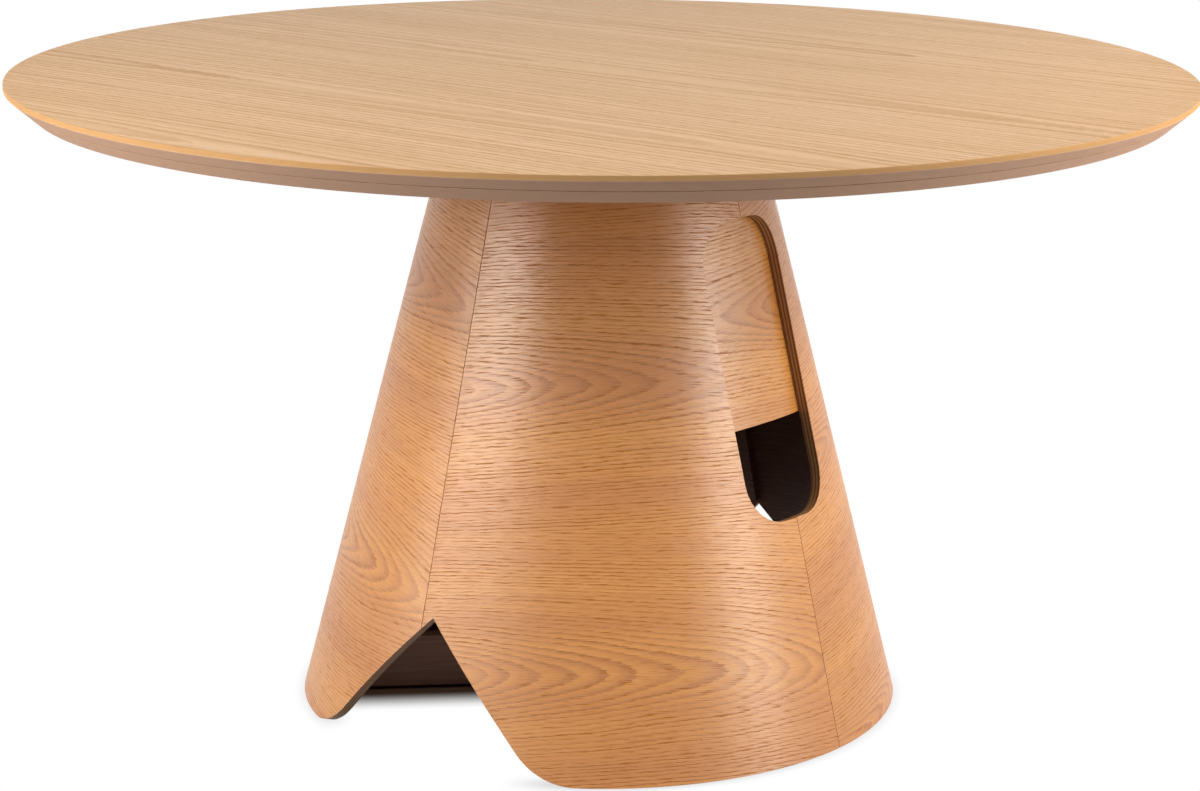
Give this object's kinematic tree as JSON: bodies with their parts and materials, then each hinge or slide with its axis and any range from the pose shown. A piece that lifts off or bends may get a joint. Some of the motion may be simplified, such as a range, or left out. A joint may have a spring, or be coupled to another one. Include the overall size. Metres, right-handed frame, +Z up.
{
  "type": "dining table",
  "caption": "Round dining table with a bevelled oak top on a cone base of bent plywood panels, with rounded slots over its side seams and V notches at the floor.",
  "frame": {"origin": "on the floor under the centre of the round top", "axes": "+Z up; the slots are centred on +X and -X, and the floor notches lie near -Y (front) and +Y (rear)"},
  "size_m": [1.37, 1.37, 0.75],
  "materials": {
    "oak_top": "pale oak veneer, matt lacquer",
    "oak_panel": "honey oak veneer on bent plywood, satin lacquer",
    "oak_liner": "honey oak veneer, satin lacquer",
    "dark_ply": "dark brown stain, matt",
    "cap_ply": "raw plywood",
    "steel": "zinc plated",
    "nylon": "black nylon"
  },
  "bodies": {
    "root": {"tabletop_upper_board": "oak_top", "tabletop_lower_board": "oak_top", "front_panel": "oak_panel", "right_panel": "oak_panel", "rear_panel": "oak_panel", "left_panel": "oak_panel", "right_slot_liner": "oak_liner", "left_slot_liner": "oak_liner", "front_seam_batten": "dark_ply", "rear_seam_batten": "dark_ply", "right_seam_batten": "dark_ply", "left_seam_batten": "dark_ply", "base_cap": "cap_ply", "front_cap_cleat": "dark_ply", "right_cap_cleat": "dark_ply", "rear_cap_cleat": "dark_ply", "left_cap_cleat": "dark_ply", "front_cleat_screw_a": "steel", "front_cleat_screw_b": "steel", "right_cleat_screw_a": "steel", "right_cleat_screw_b": "steel", "rear_cleat_screw_a": "steel", "rear_cleat_screw_b": "steel", "left_cleat_screw_a": "steel", "left_cleat_screw_b": "steel", "threaded_insert_1": "steel", "threaded_insert_2": "steel", "threaded_insert_3": "steel", "threaded_insert_4": "steel", "threaded_insert_5": "steel", "threaded_insert_6": "steel", "top_bolt_1": "steel", "top_bolt_2": "steel", "top_bolt_3": "steel", "top_bolt_4": "steel", "top_bolt_5": "steel", "top_bolt_6": "steel", "lower_floor_brace": "dark_ply", "upper_floor_brace": "dark_ply", "front_foot_block": "dark_ply", "right_foot_block": "dark_ply", "rear_foot_block": "dark_ply", "left_foot_block": "dark_ply", "front_block_screw_a": "steel", "front_block_screw_b": "steel", "right_block_screw_a": "steel", "right_block_screw_b": "steel", "rear_block_screw_a": "steel", "rear_block_screw_b": "steel", "left_block_screw_a": "steel", "left_block_screw_b": "steel", "front_glide_a": "nylon", "front_glide_b": "nylon", "right_glide_a": "nylon", "right_glide_b": "nylon", "rear_glide_a": "nylon", "rear_glide_b": "nylon", "left_glide_a": "nylon", "left_glide_b": "nylon"}
  },
  "joints": []
}
